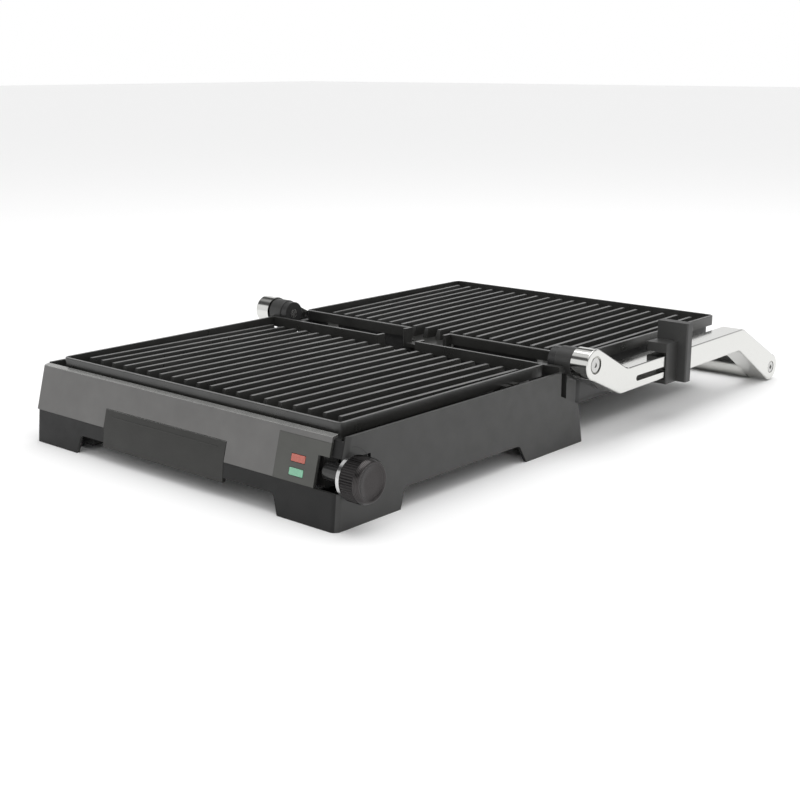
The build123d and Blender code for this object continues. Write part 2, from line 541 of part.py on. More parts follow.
# Feet: the corner blocks of the housing are closed below by plates with rubber pads
pad_x = BASE_HALF_X - PAD_IN_X
pad_places = [(sx * pad_x, y) for sx in (-1, 1) for y in (PAD_FRONT_Y, PAD_REAR_Y)]
foot_names = ("front_left_foot", "rear_left_foot", "front_right_foot", "rear_right_foot")
for foot_name, (foot_x, foot_y) in zip(foot_names, pad_places):
    with BuildPart() as foot:
        with BuildSketch(level(0)):
            with Locations((foot_x, foot_y)):
                Circle(PAD_R)
        extrude(amount=PAD_THICK + WALL)
        fillet(foot.edges().group_by(Axis.Z)[0], PAD_EDGE_R)
        with BuildSketch(level(PAD_THICK)):
            with Locations((foot_x, foot_y)):
                RectangleRounded(2 * (PAD_IN_X - WALL - SEAT), 2 * (PAD_R + FOOT_PLATE_MARGIN),
                                 FOOT_PLATE_MARGIN)
        extrude(amount=WALL)
    keep(foot.part, foot_name)


def plate_ribs(sign, far_gap, near_gap):
    """The ribs of one plate: tapered bars with sloping ends, their crests falling to the drain."""
    far = sign * (PLATE_FAR_Y - far_gap)
    near = sign * (PLATE_NEAR_Y + near_gap)
    root_z = PLATE_RIM_Z - PLATE_FLOOR_DEPTH - PLATE_FALL - PAST
    crest_z = PLATE_RIM_Z - RIB_BELOW_RIM
    count = int(2 * (PLATE_HALF_X - RIB_SIDE_GAP) // RIB_PITCH) + 1
    with BuildPart() as ribs:
        with BuildSketch(facing(max(near, far))):
            for i in range(count):
                with Locations(((i - (count - 1) / 2) * RIB_PITCH, 0)):
                    Polygon((-RIB_FOOT / 2, root_z), (RIB_FOOT / 2, root_z),
                            (RIB_CREST / 2, crest_z), (-RIB_CREST / 2, crest_z), align=None)
        extrude(amount=abs(far - near))
        with BuildSketch(station(-WIDE / 2)):
            Polygon((far, root_z), (far - sign * RIB_END_LEAN, crest_z),
                    (near + sign * RIB_END_LEAN, crest_z - RIB_FALL), (near, root_z), align=None)
        extrude(amount=WIDE, mode=Mode.INTERSECT)
    return ribs.part


def cooking_plate(sign, far_gap, near_gap, with_side_lugs):
    """A ribbed plate in its pan: the floor falls to the drain gap beside the hinge."""
    mid_y = sign * (PLATE_FAR_Y + PLATE_NEAR_Y) / 2
    near = sign * PLATE_NEAR_Y
    far = sign * PLATE_FAR_Y
    floor_far = PLATE_RIM_Z - PLATE_FLOOR_DEPTH
    floor_near = floor_far - PLATE_FALL
    under = floor_near - PLATE_FLOOR_THICK
    inner_far = far - sign * PLATE_RIM_THICK
    inner_near = near + sign * PLATE_RIM_THICK
    with BuildPart() as plate:
        with BuildSketch(level(PLATE_RIM_Z - PLATE_RIM_HEIGHT)):
            with Locations((0, mid_y)):
                RectangleRounded(2 * PLATE_HALF_X, PLATE_LENGTH, PLATE_CORNER_R)
        extrude(amount=PLATE_RIM_HEIGHT)
        fillet(plate.edges().group_by(Axis.Z)[-1], PLATE_EDGE_R)
        with BuildSketch(level(under)):
            with Locations((0, mid_y)):
                RectangleRounded(2 * (PLATE_HALF_X - PLATE_BODY_INSET), PLATE_LENGTH - 2 * PLATE_BODY_INSET,
                                 LID_CORNER_R)
        extrude(amount=PLATE_RIM_Z - PLATE_RIM_HEIGHT - under)
        with BuildSketch(station(-PLATE_HALF_X + PLATE_RIM_THICK)):
            Polygon((inner_far, floor_far), (inner_near, floor_near),
                    (inner_near, PLATE_RIM_Z + PAST), (inner_far, PLATE_RIM_Z + PAST), align=None)
        extrude(amount=2 * (PLATE_HALF_X - PLATE_RIM_THICK), mode=Mode.SUBTRACT)
        with BuildSketch(level(floor_near)):
            with Locations((0, near + sign * PLATE_RIM_THICK / 2)):
                Rectangle(2 * DRAIN_HALF_X, 2 * PLATE_RIM_THICK)
        extrude(amount=PLATE_RIM_HEIGHT * 2, mode=Mode.SUBTRACT)
        with BuildSketch(level(under)):
            with Locations((0, near - sign * (SPOUT_REACH - PLATE_BODY_INSET) / 2)):
                Rectangle(2 * DRAIN_HALF_X, SPOUT_REACH + PLATE_BODY_INSET)
        extrude(amount=PLATE_FLOOR_THICK)
        for side in (-1, 1):
            lip_x = side * (DRAIN_HALF_X + SPOUT_LIP / 2)
            with BuildSketch(level(under)):
                with Locations((lip_x, near - sign * (SPOUT_REACH - PLATE_RIM_THICK) / 2)):
                    RectangleRounded(SPOUT_LIP, SPOUT_REACH + PLATE_RIM_THICK, SPOUT_LIP / 2 - SEAT)
            extrude(amount=PLATE_RIM_Z - under)
            with BuildSketch(level(under)):
                latch_y = near + sign * (PLATE_BODY_INSET - LATCH_DEPTH / 2 + PAST)
                with Locations((side * (PLATE_HALF_X - LATCH_INSET_X), latch_y)):
                    Rectangle(LATCH_WIDTH, LATCH_DEPTH)
            extrude(amount=PLATE_FLOOR_THICK)
        if with_side_lugs:
            for lug_y, lug_low in zip(SIDE_LUG_Y, SIDE_LUG_LOW_Z):
                with BuildSketch(level(HINGE_Z - lug_low)):
                    with Locations((PLATE_HALF_X + (SIDE_LUG_REACH - SIDE_LUG_ROOT) / 2, lug_y)):
                        Rectangle(SIDE_LUG_REACH + SIDE_LUG_ROOT, SIDE_LUG_LENGTH)
                extrude(amount=lug_low - SIDE_LUG_TOP_Z)
        add(plate_ribs(sign, far_gap, near_gap))
    return plate.part


keep(cooking_plate(-1, LOWER_RIB_FAR_GAP, LOWER_RIB_NEAR_GAP, True), "lower_plate")
keep(cooking_plate(1, UPPER_RIB_FAR_GAP, UPPER_RIB_NEAR_GAP, False), "upper_plate")

# Heaters: a bent rod pressed up under each plate, and a sheet-metal shield below it
for heater_name, sign in (("lower_heater", -1), ("upper_heater", 1)):
    with BuildPart() as heater:
        with BuildLine(level(heater_z)):
            FilletPolyline((-HEATER_HALF_X / 2, sign * HEATER_NEAR_Y),
                           (-HEATER_HALF_X, sign * HEATER_NEAR_Y), (-HEATER_HALF_X, sign * HEATER_FAR_Y),
                           (HEATER_HALF_X, sign * HEATER_FAR_Y), (HEATER_HALF_X, sign * HEATER_NEAR_Y),
                           (HEATER_HALF_X / 2, sign * HEATER_NEAR_Y), radius=HEATER_BEND_R)
        with BuildSketch(Plane(origin=(MID_X - HEATER_HALF_X / 2, HINGE_Y + sign * HEATER_NEAR_Y, heater_z),
                               z_dir=(-1, 0, 0))):
            Circle(HEATER_R)
        sweep()
    keep(heater.part, heater_name)

for shield_name, sign in (("lower_heat_shield", -1), ("upper_heat_shield", 1)):
    mid_y = sign * (PLATE_FAR_Y + PLATE_NEAR_Y) / 2
    shield_x = PLATE_HALF_X - SHIELD_INSET - PLATE_BODY_INSET
    shield_length = PLATE_LENGTH - 2 * (SHIELD_INSET + PLATE_BODY_INSET)
    clip_places = [(side * HEATER_HALF_X, sign * y) for side in (-1, 1)
                   for y in (HEATER_NEAR_Y + CLIP_FROM_BEND, HEATER_FAR_Y - CLIP_FROM_BEND)]
    clip_top_z = heater_z - HEATER_R - RUN
    shield_floor_z = shield_top_z - SHIELD_DEPTH + SHIELD_THICK
    with BuildPart() as shield:
        with BuildSketch(level(shield_top_z - SHIELD_DEPTH)):
            with Locations((0, mid_y)):
                RectangleRounded(2 * shield_x, shield_length, SHIELD_CORNER_R)
        extrude(amount=SHIELD_DEPTH)
        with BuildSketch(level(shield_floor_z)):
            with Locations((0, mid_y)):
                RectangleRounded(2 * (shield_x - SHIELD_THICK), shield_length - 2 * SHIELD_THICK,
                                 SHIELD_CORNER_R - SHIELD_THICK)
        extrude(amount=SHIELD_DEPTH, mode=Mode.SUBTRACT)
        with BuildSketch(level(clip_top_z - CLIP_THICK)):
            with Locations(*clip_places):
                Rectangle(CLIP_WIDTH, CLIP_LENGTH)
        extrude(amount=CLIP_THICK)
        with BuildSketch(level(shield_floor_z)):
            with Locations(*clip_places):
                Rectangle(CLIP_LEG, CLIP_LENGTH)
        extrude(amount=clip_top_z - CLIP_THICK - shield_floor_z)
    keep(shield.part, shield_name)

# Hinge brackets: a black barrel on a post, and a strap forward to the plate's corner
with BuildPart() as right_hinge_bracket:
    with BuildSketch(station(BARREL_IN_X)):
        with Locations((0, HINGE_Z)):
            Circle(BARREL_R)
    extrude(amount=BARREL_OUT_X - BARREL_IN_X)
    fillet(right_hinge_bracket.edges().filter_by(GeomType.CIRCLE), BARREL_EDGE_R)
    with BuildSketch(level(ARCH_Z)):
        with Locations(((POST_IN_X + POST_OUT_X) / 2, 0)):
            Rectangle(POST_OUT_X - POST_IN_X, 2 * POST_HALF_Y)
    extrude(amount=HINGE_Z - ARCH_Z)
    with BuildSketch(level(STRAP_TOP_Z - STRAP_THICK)):
        with Locations(((STRAP_IN_X + POST_OUT_X) / 2, (STRAP_FRONT_Y + STRAP_BACK_Y) / 2)):
            RectangleRounded(POST_OUT_X - STRAP_IN_X, STRAP_BACK_Y - STRAP_FRONT_Y, STRAP_CORNER_R)
        with Locations(((POST_IN_X + POST_OUT_X) / 2, STRAP_FRONT_Y / 2)):
            Rectangle(POST_OUT_X - POST_IN_X, -STRAP_FRONT_Y)
    extrude(amount=STRAP_THICK)
    with BuildSketch(station(BARREL_IN_X)):
        with Locations((0, HINGE_Z)):
            Circle(PIN_R + RUN)
    extrude(amount=BARREL_OUT_X - BARREL_IN_X, mode=Mode.SUBTRACT)
keep(right_hinge_bracket.part, "right_hinge_bracket")
left_hinge_bracket = mirrored(right_hinge_bracket.part)
keep(left_hinge_bracket, "left_hinge_bracket")

# Hinge pins with their heads in the arms' recesses
with BuildPart() as right_hinge_pin:
    with BuildSketch(station(EAR_IN_X)):
        with Locations((0, HINGE_Z)):
            Circle(PIN_R)
    extrude(amount=ARM_OUT_X - BOSS_RECESS_DEPTH + RUN - EAR_IN_X)
    with BuildSketch(station(ARM_OUT_X - BOSS_RECESS_DEPTH + RUN)):
        with Locations((0, HINGE_Z)):
            Circle(PIN_HEAD_R)
    extrude(amount=PIN_HEAD_THICK)
    with BuildSketch(station(ARM_OUT_X)):
        with Locations((0, HINGE_Z)):
            RegularPolygon(SCREW_SOCKET_R, 6)
    extrude(amount=-BOSS_RECESS_DEPTH / 2, mode=Mode.SUBTRACT)
keep(right_hinge_pin.part, "right_hinge_pin")
keep(mirrored(right_hinge_pin.part), "left_hinge_pin")

def rim_point(y, z, radius, degrees):
    """A point on a circle round (y, z), for outlines that leave it as a tangent."""
    return (y + radius * math.cos(math.radians(degrees)), z + radius * math.sin(math.radians(degrees)))


# Arms: a boss at the hinge, a dip to the level bar and a bend down to the handle
with BuildPart() as right_arm:
    with BuildSketch(station(ARM_IN_X)) as arm_profile:
        with BuildLine():
            Polyline((0, HINGE_Z), rim_point(0, HINGE_Z, BOSS_R, BOSS_TOP_ANGLE), (ARM_DIP_Y, ARM_TOP_Z),
                     (ARM_BEND_Y, ARM_TOP_Z + ARM_RISE),
                     rim_point(HINGE_TO_HANDLE, HANDLE_R, ARM_END_R, END_TOP_ANGLE),
                     (HINGE_TO_HANDLE, HANDLE_R),
                     rim_point(HINGE_TO_HANDLE, HANDLE_R, ARM_END_R, END_LOW_ANGLE),
                     (ARM_BEND_Y - ARM_BEND_SHIFT, ARM_LOW_Z + ARM_RISE),
                     (ARM_DIP_Y - ARM_DIP_SHIFT, ARM_LOW_Z),
                     rim_point(0, HINGE_Z, BOSS_R, BOSS_LOW_ANGLE), (0, HINGE_Z))
        make_face()
        fillet(arm_profile.vertices().filter_by_position(Axis.X, BOSS_R, ARM_BEND_Y + PAST), ARM_BEND_R)
        with Locations((HINGE_TO_HANDLE, HANDLE_R)):
            Circle(ARM_END_R)
        with Locations((0, HINGE_Z)):
            Circle(BOSS_R)
    extrude(amount=ARM_WIDTH)
    fillet(right_arm.edges().group_by(Axis.X)[-1], ARM_EDGE_R)
    with BuildSketch(station(ARM_IN_X)):
        with Locations((0, HINGE_Z)):
            Circle(BOSS_R + BOSS_HOLLOW)
    extrude(amount=BOSS_IN_X - ARM_IN_X, mode=Mode.SUBTRACT)
    with BuildSketch(station(ARM_IN_X)):
        with Locations(((SLOT_START_Y + SLOT_END_Y) / 2, slot_z)):
            SlotOverall(SLOT_END_Y - SLOT_START_Y, SLOT_HEIGHT)
    extrude(amount=ARM_OUT_X - ARM_IN_X, mode=Mode.SUBTRACT)
    with BuildSketch(station(ARM_IN_X)):
        with Locations((0, HINGE_Z)):
            Circle(PIN_R + RUN)
    extrude(amount=ARM_OUT_X - ARM_IN_X, mode=Mode.SUBTRACT)
    with BuildSketch(station(ARM_OUT_X)):
        with Locations((0, HINGE_Z)):
            Circle(BOSS_RECESS_R)
    extrude(amount=-BOSS_RECESS_DEPTH, mode=Mode.SUBTRACT)
    with BuildSketch(station(ARM_OUT_X)):
        with Locations((HINGE_TO_HANDLE, HANDLE_R)):
            Circle(END_RECESS_R)
    extrude(amount=-END_RECESS_DEPTH, mode=Mode.SUBTRACT)
    with BuildSketch(station(ARM_IN_X)):
        with Locations((HINGE_TO_HANDLE, HANDLE_R)):
            Circle(SCREW_SHANK_R + RUN)
    extrude(amount=ARM_OUT_X - ARM_IN_X, mode=Mode.SUBTRACT)
keep(right_arm.part, "right_arm")
keep(mirrored(right_arm.part), "left_arm")

# Handle: a tube between the arms, closed by a plug at each end, with a screw through each arm
with BuildPart() as handle_tube:
    with BuildSketch(station(-ARM_IN_X + SEAT)):
        with Locations((HINGE_TO_HANDLE, HANDLE_R)):
            Circle(HANDLE_R)
            Circle(HANDLE_R - HANDLE_WALL, mode=Mode.SUBTRACT)
    extrude(amount=2 * (ARM_IN_X - SEAT))
keep(handle_tube.part, "handle_tube")

with BuildPart() as right_handle_plug:
    with BuildSketch(station(ARM_IN_X - SEAT - HANDLE_PLUG_LENGTH)):
        with Locations((HINGE_TO_HANDLE, HANDLE_R)):
            Circle(HANDLE_R - HANDLE_WALL - RUN)
            Circle(SCREW_SHANK_R + RUN, mode=Mode.SUBTRACT)
    extrude(amount=HANDLE_PLUG_LENGTH)
keep(right_handle_plug.part, "right_handle_plug")
keep(mirrored(right_handle_plug.part), "left_handle_plug")

with BuildPart() as right_handle_screw:
    with BuildSketch(station(ARM_OUT_X - END_RECESS_DEPTH)):
        with Locations((HINGE_TO_HANDLE, HANDLE_R)):
            Circle(END_SCREW_R)
    extrude(amount=END_RECESS_DEPTH - HEAD_SUNK)
    with BuildSketch(station(ARM_OUT_X - END_RECESS_DEPTH)):
        with Locations((HINGE_TO_HANDLE, HANDLE_R)):
            Circle(SCREW_SHANK_R)
    extrude(amount=-(ARM_OUT_X - END_RECESS_DEPTH - ARM_IN_X + HANDLE_PLUG_LENGTH * 0.8))
    with BuildSketch(station(ARM_OUT_X)):
        with Locations((HINGE_TO_HANDLE, HANDLE_R)):
            RegularPolygon(SCREW_SOCKET_R, 6)
    extrude(amount=-END_RECESS_DEPTH * 0.8, mode=Mode.SUBTRACT)
keep(right_handle_screw.part, "right_handle_screw")
keep(mirrored(right_handle_screw.part), "left_handle_screw")

# Lid housing: a deep rounded cover round the upper plate, with an ear at each hinge
with BuildPart() as lid_housing:
    lid_mid_y = (LID_NEAR_Y + LID_FAR_Y) / 2
    lid_length = LID_FAR_Y - LID_NEAR_Y
    lid_top_z = PLATE_RIM_Z - PLATE_RIM_HEIGHT - SEAT
    with BuildSketch(level(LID_BOTTOM_Z)):
        with Locations((0, lid_mid_y)):
            RectangleRounded(2 * LID_HALF_X, lid_length, LID_CORNER_R)
    extrude(amount=lid_top_z - LID_BOTTOM_Z)
    fillet(lid_housing.edges().group_by(Axis.Z)[0], LID_EDGE_R)
    with BuildSketch(level(LID_BOTTOM_Z + LID_WALL)):
        with Locations((0, lid_mid_y)):
            RectangleRounded(2 * (LID_HALF_X - LID_WALL), lid_length - 2 * LID_WALL, LID_CORNER_R - LID_WALL)
    extrude(amount=lid_top_z, mode=Mode.SUBTRACT)
    with BuildSketch(level(plate_under_z - SEAT)):
        with Locations((0, PLATE_NEAR_Y)):
            Rectangle(2 * (DRAIN_HALF_X + SPOUT_LIP + PAST), 2 * (LID_NEAR_INSET + PLATE_BODY_INSET))
        with Locations(*[(side * (PLATE_HALF_X - LATCH_INSET_X), LID_NEAR_Y) for side in (-1, 1)]):
            Rectangle(LATCH_WIDTH + PAST, 2 * LATCH_DEPTH)
    extrude(amount=PLATE_RIM_Z, mode=Mode.SUBTRACT)
    for side in (-1, 1):
        ear_x = -BARREL_IN_X + SEAT if side < 0 else EAR_IN_X
        ear_thick = BARREL_IN_X - EAR_IN_X - SEAT
        with BuildSketch(station(ear_x)):
            with BuildLine():
                ear_end_y = LID_NEAR_Y + EAR_REACH_Y
                Polyline((0, HINGE_Z - EAR_R), (ear_end_y, LID_BOTTOM_Z + EAR_RISE),
                         (ear_end_y, lid_top_z), (EAR_R, lid_top_z), (0, HINGE_Z), (0, HINGE_Z - EAR_R))
            make_face()
            with Locations((0, HINGE_Z)):
                Circle(EAR_R)
                Circle(PIN_R + RUN, mode=Mode.SUBTRACT)
        extrude(amount=ear_thick)
keep(lid_housing.part, "lid_housing")

# Studs that carry the lid between the arms
for stud_name, side in (("right_lid_studs", 1), ("left_lid_studs", -1)):
    with BuildPart() as lid_studs:
        with BuildSketch(station(side * (LID_HALF_X + SEAT))):
            with Locations((STUD_NEAR_Y, (ARM_TOP_Z + ARM_LOW_Z) / 2),
                           (STUD_FAR_Y, (ARM_TOP_Z + ARM_LOW_Z) / 2)):
                Circle(STUD_R)
        extrude(amount=side * (ARM_IN_X - LID_HALF_X - 2 * SEAT))
    keep(lid_studs.part, stud_name)

# Lock slider: a tall grip plate behind a sleeve, both round the right arm
slider_in_x = BASE_HALF_X + SLIDER_CLEAR_X
slider_mid_x = (slider_in_x + SLIDER_OUT_X) / 2
with BuildPart() as lock_slider:
    with BuildSketch(level(SLIDER_LOW_Z)):
        with Locations((slider_mid_x, SLIDER_Y + SLIDER_THICK / 2)):
            RectangleRounded(SLIDER_OUT_X - slider_in_x, SLIDER_THICK, SLIDER_CORNER_R)
    extrude(amount=SLIDER_TOP_Z - SLIDER_LOW_Z)
    with BuildSketch(level(SLIDER_LOW_Z)):
        step_out_x = ARM_OUT_X + SLIDER_WALL
        with Locations(((slider_in_x + step_out_x) / 2, SLIDER_Y + (SLIDER_CORNER_R - SLIDER_STEP_DEPTH) / 2)):
            RectangleRounded(step_out_x - slider_in_x, SLIDER_STEP_DEPTH + SLIDER_CORNER_R, SLIDER_CORNER_R)
    extrude(amount=HINGE_Z - SLIDER_LOW_Z)
    with BuildSketch(level(ARM_LOW_Z - SLIDER_BORE_PLAY)):
        with Locations(((ARM_IN_X + ARM_OUT_X) / 2, SLIDER_Y)):
            Rectangle(ARM_OUT_X - ARM_IN_X + 2 * FIT, 4 * SLIDER_STEP_DEPTH)
    extrude(amount=ARM_HEIGHT + SLIDER_BORE_PLAY + SLIDER_TOP_PLAY, mode=Mode.SUBTRACT)
keep(lock_slider.part, "lock_slider")

# The slider's pin runs in the arm's slot
with BuildPart() as slider_pin:
    with BuildSketch(station(ARM_IN_X)):
        with Locations((SLIDER_Y + SLIDER_THICK / 2, slot_z)):
            Circle(SLIDER_PIN_R)
    extrude(amount=ARM_OUT_X + FIT - ARM_IN_X)
keep(slider_pin.part, "slider_pin")

# Knob: a turned body with a bevel and a dished end face
with BuildPart() as temperature_knob:
    with BuildSketch(Plane(origin=(MID_X, HINGE_Y + KNOB_Y, KNOB_Z), z_dir=(0, 0, 1))):
        with BuildLine():
            Polyline((KNOB_IN_X, 0), (KNOB_IN_X, KNOB_R), (KNOB_OUT_X - KNOB_BEVEL_LENGTH, KNOB_R),
                     (KNOB_OUT_X, KNOB_R - KNOB_BEVEL), (KNOB_OUT_X, KNOB_R - KNOB_BEVEL - KNOB_RIM),
                     (KNOB_OUT_X - KNOB_DISH, KNOB_R - KNOB_BEVEL - KNOB_RIM - KNOB_DISH),
                     (KNOB_OUT_X - KNOB_DISH, 0), (KNOB_IN_X, 0))
        make_face()
    revolve(axis=Axis((MID_X, HINGE_Y + KNOB_Y, KNOB_Z), (1, 0, 0)))
keep(temperature_knob.part, "temperature_knob")

# Plain collar on the side wall, then the neck that the knob sits on, back to the thermostat
with BuildPart() as knob_collar:
    with BuildSketch(station(BASE_HALF_X + SEAT)):
        with Locations((KNOB_Y, KNOB_Z)):
            Circle(COLLAR_R)
            Circle(NECK_R + RUN, mode=Mode.SUBTRACT)
    extrude(amount=COLLAR_THICK)
keep(knob_collar.part, "knob_collar")

with BuildPart() as knob_shaft:
    with BuildSketch(station(THERMOSTAT_OUT_X + SEAT)):
        with Locations((KNOB_Y, KNOB_Z)):
            Circle(SHAFT_R)
    extrude(amount=SHAFT_LENGTH)
    with BuildSketch(station(NECK_IN_X)):
        with Locations((KNOB_Y, KNOB_Z)):
            Circle(NECK_R)
    extrude(amount=NECK_LENGTH)
keep(knob_shaft.part, "knob_shaft")

with BuildPart() as thermostat:
    with BuildSketch(station(THERMOSTAT_IN_X)):
        with Locations((KNOB_Y + THERMOSTAT_SIZE / 4, KNOB_Z)):
            RectangleRounded(THERMOSTAT_SIZE / 2, THERMOSTAT_SIZE, THERMOSTAT_CORNER_R)
    extrude(amount=THERMOSTAT_OUT_X - THERMOSTAT_IN_X)
keep(thermostat.part, "thermostat")
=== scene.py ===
import bmesh
import bpy
import json
import math
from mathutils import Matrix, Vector

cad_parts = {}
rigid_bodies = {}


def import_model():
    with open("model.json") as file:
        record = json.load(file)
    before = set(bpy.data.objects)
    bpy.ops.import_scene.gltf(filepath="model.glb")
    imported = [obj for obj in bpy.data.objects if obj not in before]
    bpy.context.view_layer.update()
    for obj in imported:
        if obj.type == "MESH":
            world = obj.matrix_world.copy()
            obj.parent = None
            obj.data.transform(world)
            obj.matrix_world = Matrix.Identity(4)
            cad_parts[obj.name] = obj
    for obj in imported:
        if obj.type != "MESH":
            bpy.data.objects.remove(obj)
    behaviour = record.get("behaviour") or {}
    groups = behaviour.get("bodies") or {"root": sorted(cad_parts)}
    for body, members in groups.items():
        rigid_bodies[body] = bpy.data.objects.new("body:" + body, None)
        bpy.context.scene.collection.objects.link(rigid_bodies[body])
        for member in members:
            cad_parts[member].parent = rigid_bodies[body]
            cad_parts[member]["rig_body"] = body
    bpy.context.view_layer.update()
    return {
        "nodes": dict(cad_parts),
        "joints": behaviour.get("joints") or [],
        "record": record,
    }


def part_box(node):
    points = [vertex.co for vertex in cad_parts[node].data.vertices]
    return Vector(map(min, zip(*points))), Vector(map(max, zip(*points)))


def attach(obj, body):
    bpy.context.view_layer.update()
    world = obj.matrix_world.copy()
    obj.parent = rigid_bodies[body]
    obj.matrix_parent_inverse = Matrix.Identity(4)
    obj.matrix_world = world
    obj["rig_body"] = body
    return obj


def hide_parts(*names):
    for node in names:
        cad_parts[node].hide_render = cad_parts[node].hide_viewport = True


# Looks for the contact grill: camera, studio, materials and the finely edged pieces, all in metres
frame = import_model()
nodes = frame["nodes"]
scene = bpy.context.scene
slot_of = {part["node"]: part["material_slot"] for part in frame["record"]["subparts"]}

# The datum is the point on the floor under the middle of the hinge line
base_low, base_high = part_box("base_housing")
lid_hinge = next(joint for joint in frame["joints"] if joint["name"] == "lid_hinge")
MID_X = (base_low.x + base_high.x) / 2
DATUM = Vector((MID_X, lid_hinge["pos_m"][1], 0))

# Camera, recovered from the edges of the plates and the base
CAMERA_FROM_DATUM = Vector((0.7116, -0.8352, 0.2895))
CAMERA_YAW = math.radians(41.04)
CAMERA_PITCH = math.radians(-14.36)
LENS_MM = 59.23
SENSOR_MM = 36
CLIP_NEAR = 0.05
CLIP_FAR = 60

# Studio: levels of the world as seen by diffuse light, and by reflections at each height
AMBIENT = 0.95
HORIZON = 0.95
ZENITH = 0.75
TENT = ((0.42, 0.95), (0.5, 0.1), (0.66, 0.08), (0.74, 0.85))      # sine of the height angle, and the level
FLOOR_SIZE = 30
FLOOR_WHITE = 0.94
LAMP_PLACE = Vector((0.1, 0.1, 1.6))
LAMP_AIM = Vector((0, 0, 0))
LAMP_SIDE = 1.6
LAMP_WATTS = 12

# Textures: polishing lines run along X, as the handle tube does, so they are far finer along Y and Z
NOISE_ROUGHNESS = 0.55
NOISE_LOW = 0.3                 # a noise's values lie mostly between these two
NOISE_HIGH = 0.7
POLISH_LINES = (1, 900, 900)

# Eased edges: what counts as one point, one flat face and an edge, and the radius for each node
SAME_POINT = 1e-6
FLAT_ANGLE = math.radians(1)
EDGE_ANGLE = math.radians(28)
EDGE_SEGMENTS = 2
EDGE_WEIGHT = 100
EASED = {
    "base_housing": 0.0007,
    "front_fascia": 0.0004,
    "control_cover": 0.0003,
    "drip_tray": 0.0005,
    "lock_slider": 0.0008,
    "lower_plate": 0.0005,
    "upper_plate": 0.0005,
    "lid_housing": 0.0004,
    "right_hinge_bracket": 0.0005,
    "left_hinge_bracket": 0.0005,
    "power_inlet": 0.0003,
}

# Faces on one piece that take a second look, a painted shade on the base's front faces and a painted
# highlight on the upward lips of the fascia and the tray: look, the way they face, how nearly, and above
# what height, where -1 is any
PAINTED_LIGHT_LOOKS = {
    "base_housing": ("front_black", Vector((0, -1, 0)), 0.8, -1),
    "front_fascia": ("lip_bright", Vector((0, 0, 1)), 0.5, 0.055),
    "drip_tray": ("lip_bright", Vector((0, 0, 1)), 0.5, 0.0385),
}

# Knob: a knurled body with a chamfered back, a groove, a bevel, a flat ring and a dished end
KNOB_KNURLS = 54
KNURL_STEPS = 6
KNURL_DEPTH = 0.00042
KNURL_SHARPNESS = 0.7
KNOB_CHAMFER = 0.0009
KNOB_GROOVE = 0.0003
KNOB_BEVEL = 0.0032
KNOB_RING_OUTSIDE = 0.0020      # how far inside the knob's radius
KNOB_RING_INSIDE = 0.0031
KNOB_DISH_START = 0.0036
KNOB_DISH_DEPTH = 0.0006
KNOB_DISH_RINGS = (0.4, 0.05)   # shares of the radius
KNOB_SOFTENING = 0.0001
KNOB_END_FACING = 0.3           # faces turned at least this far towards X belong to the end

# Printed scale beside the knob: radius, start and end in degrees up from the rear, and steps
PRINT_THICKNESS = 0.00008
PRINT_LIFT = 0.00001
PRINT_HALF_WIDTH = 0.0002
PRINTS = {"dial_arc": (0.0194, 16, 84, 40), "dial_dot": (0.0245, 12, 15, 4)}

# Plates that close the corner blocks of the base from below
CORNER_LIP = 0.003
CORNER_LIP_WALL = 0.001
CORNER_BOTTOM = 0.0034
CORNER_TOP = 0.0048
FRONT_CORNER = (0.014, 0.058)   # from the front face
REAR_CORNER = (0.066, 0.0095)   # from the rear face


def add_camera():
    camera = bpy.data.objects.new("camera", bpy.data.cameras.new("camera"))
    scene.collection.objects.link(camera)
    camera.data.lens = LENS_MM
    camera.data.sensor_width = SENSOR_MM
    camera.data.clip_start = CLIP_NEAR
    camera.data.clip_end = CLIP_FAR
    camera.location = DATUM + CAMERA_FROM_DATUM
    camera.rotation_euler = (math.pi / 2 + CAMERA_PITCH, 0, CAMERA_YAW)
    scene.camera = camera


class Look:
    """Builds one procedural material round its Principled shader."""

    def __init__(self, name):
        self.material = bpy.data.materials.new(name)
        self.material.use_nodes = True
        self.tree = self.material.node_tree
        self.shader = self.tree.nodes["Principled BSDF"]
        self.place = self.node("ShaderNodeTexCoord", {}).outputs["Object"]

    def node(self, kind, values):
        made = self.tree.nodes.new(kind)
        for socket, value in values.items():
            made.inputs[socket].default_value = value
        return made

    def link(self, source, target):
        self.tree.links.new(source, target)

    def set(self, socket, value):
        self.shader.inputs[socket].default_value = value

    def stretched(self, scale):
        mapping = self.node("ShaderNodeMapping", {"Scale": scale})
        self.link(self.place, mapping.inputs["Vector"])
        return mapping.outputs["Vector"]

    def noise(self, scale, detail, place=None):
        made = self.node("ShaderNodeTexNoise",
                         {"Scale": scale, "Detail": detail, "Roughness": NOISE_ROUGHNESS})
        self.link(place or self.place, made.inputs["Vector"])
        return made.outputs["Fac"]

    def spread(self, source, low, high, start=NOISE_LOW, end=NOISE_HIGH):
        made = self.node("ShaderNodeMapRange",
                         {"From Min": start, "From Max": end, "To Min": low, "To Max": high})
        self.link(source, made.inputs["Value"])
        return made.outputs["Result"]

    def paint(self, source, low, high):
        ramp = self.node("ShaderNodeValToRGB", {})
        first, last = ramp.color_ramp.elements
        first.position = NOISE_LOW
        first.color = (*low, 1)
        last.position = NOISE_HIGH
        last.color = (*high, 1)
        self.link(source, ramp.inputs["Fac"])
        self.link(ramp.outputs["Color"], self.shader.inputs["Base Color"])

    def rough(self, value):
        self.link(value, self.shader.inputs["Roughness"])

    def bump(self, source, strength, distance):
        made = self.node("ShaderNodeBump", {"Strength": strength, "Distance": distance})
        self.link(source, made.inputs["Height"])
        self.link(made.outputs["Normal"], self.shader.inputs["Normal"])


def shade(colour, factor):
    return tuple(min(1.0, level * factor) for level in colour)


